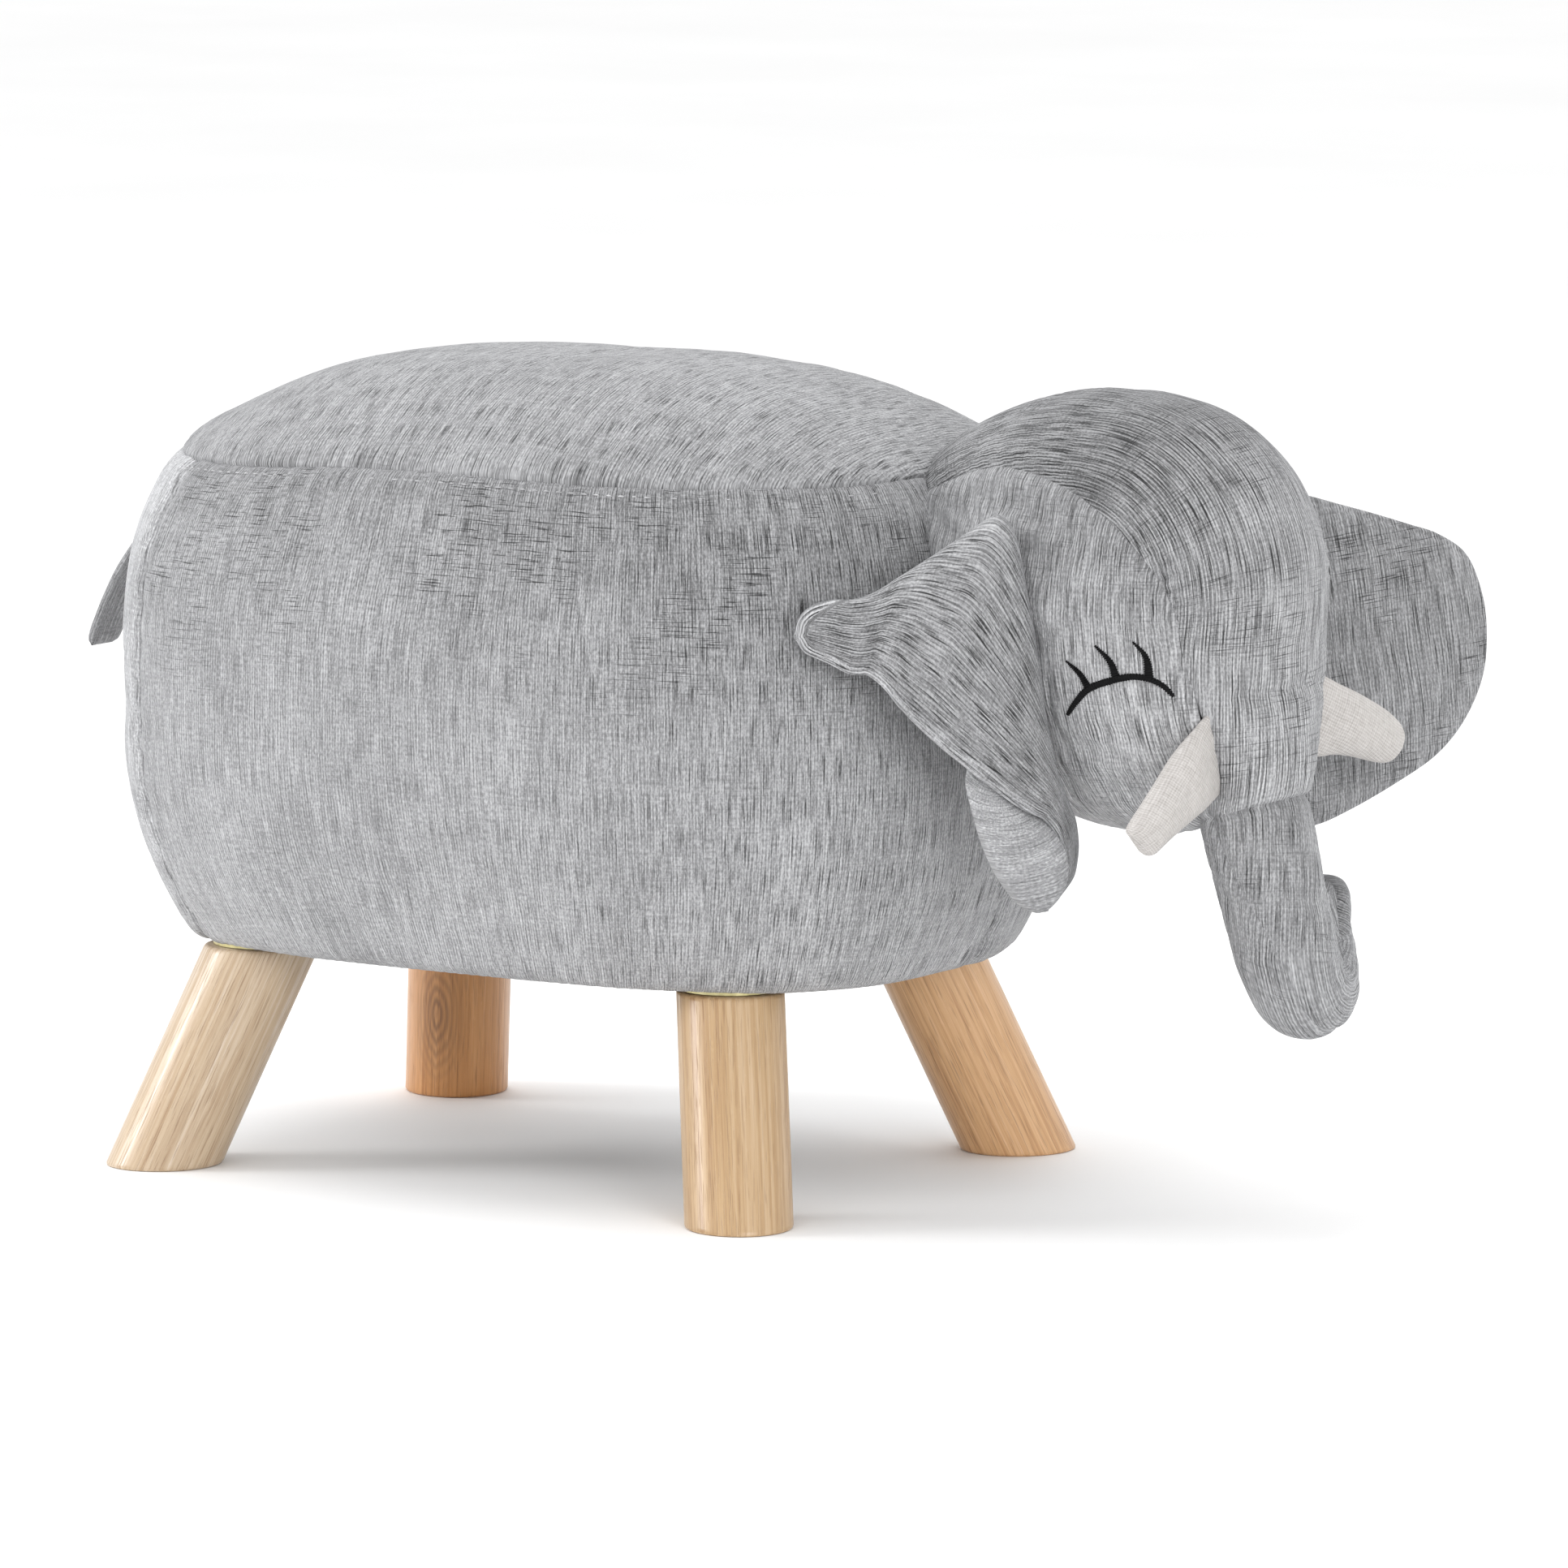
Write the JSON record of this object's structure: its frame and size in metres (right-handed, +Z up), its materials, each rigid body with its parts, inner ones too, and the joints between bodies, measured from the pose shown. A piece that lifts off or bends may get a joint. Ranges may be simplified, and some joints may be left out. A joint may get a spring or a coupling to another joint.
{
  "type": "upholstered elephant stool",
  "caption": "Low padded stool shaped like an elephant: crowned seat, stuffed head with ears, trunk and tusks that flex at their seams, a strip tail and splayed wooden legs.",
  "frame": {"origin": "middle of the box round the stool, on the floor", "axes": "+X forwards through the head, +Y to the elephant's left, +Z up"},
  "size_m": [0.638, 0.3018, 0.3491],
  "materials": {
    "chenille": "streaked grey chenille",
    "linen": "cream linen weave",
    "thread": "black satin stitch",
    "rubberwood": "clear satin lacquer",
    "plywood": "raw",
    "foam": "cut polyurethane foam",
    "fibre": "loose polyester fibre",
    "nonwoven": "black non-woven",
    "zinc": "yellow zinc plate",
    "steel": "bright zinc plate"
  },
  "bodies": {
    "stool": {"base_board": "plywood", "dust_cover": "nonwoven", "foam_wrap": "foam", "forehead_panel": "chenille", "front_base_screw": "steel", "front_board": "plywood", "front_deck_screw": "steel", "front_left_hanger_bolt": "steel", "front_left_leg": "rubberwood", "front_left_leg_plate": "zinc", "front_left_tee_nut": "zinc", "front_right_hanger_bolt": "steel", "front_right_leg": "rubberwood", "front_right_leg_plate": "zinc", "front_right_tee_nut": "zinc", "head_filling": "fibre", "left_base_screw": "steel", "left_cheek_panel": "chenille", "left_deck_screw": "steel", "left_eye": "thread", "left_rail": "plywood", "left_side_cover": "chenille", "left_tusk_cover": "linen", "left_tusk_filling": "fibre", "rear_base_screw": "steel", "rear_board": "plywood", "rear_cover": "chenille", "rear_deck_screw": "steel", "rear_left_hanger_bolt": "steel", "rear_left_leg": "rubberwood", "rear_left_leg_plate": "zinc", "rear_left_tee_nut": "zinc", "rear_right_hanger_bolt": "steel", "rear_right_leg": "rubberwood", "rear_right_leg_plate": "zinc", "rear_right_tee_nut": "zinc", "right_base_screw": "steel", "right_cheek_panel": "chenille", "right_deck_screw": "steel", "right_eye": "thread", "right_rail": "plywood", "right_side_cover": "chenille", "right_tusk_cover": "linen", "right_tusk_filling": "fibre", "seat_cover": "chenille", "seat_deck": "plywood", "seat_foam": "foam"},
    "right_ear": {"right_ear_cover": "chenille", "right_ear_wadding": "fibre"},
    "left_ear": {"left_ear_cover": "chenille", "left_ear_wadding": "fibre"},
    "trunk": {"trunk_cover": "chenille", "trunk_filling": "fibre"},
    "tail": {"tail": "chenille"}
  },
  "joints": [
    {"name": "right_ear_flex", "type": "hinge", "parent": "stool", "child": "right_ear", "pos_m": [0.20002, -0.08082, 0.24547], "axis": [-0.1167, -0.0461, 0.9921], "range_deg": [-3, 40], "stiffness_Nm_per_rad": 0.06},
    {"name": "left_ear_flex", "type": "hinge", "parent": "stool", "child": "left_ear", "pos_m": [0.22823, 0.05189, 0.25496], "axis": [-0.1167, -0.0461, 0.9921], "range_deg": [-15, 45], "stiffness_Nm_per_rad": 0.06},
    {"name": "trunk_flex", "type": "hinge", "parent": "stool", "child": "trunk", "pos_m": [0.28218, -0.02373, 0.17739], "axis": [0.2074, 0.9758, 0.0698], "range_deg": [-20, 14], "stiffness_Nm_per_rad": 0.4},
    {"name": "tail_flex", "type": "hinge", "parent": "stool", "child": "tail", "pos_m": [-0.25222, -0.00689, 0.277], "axis": [0, 1, 0], "range_deg": [-12, 55], "stiffness_Nm_per_rad": 0.05}
  ]
}
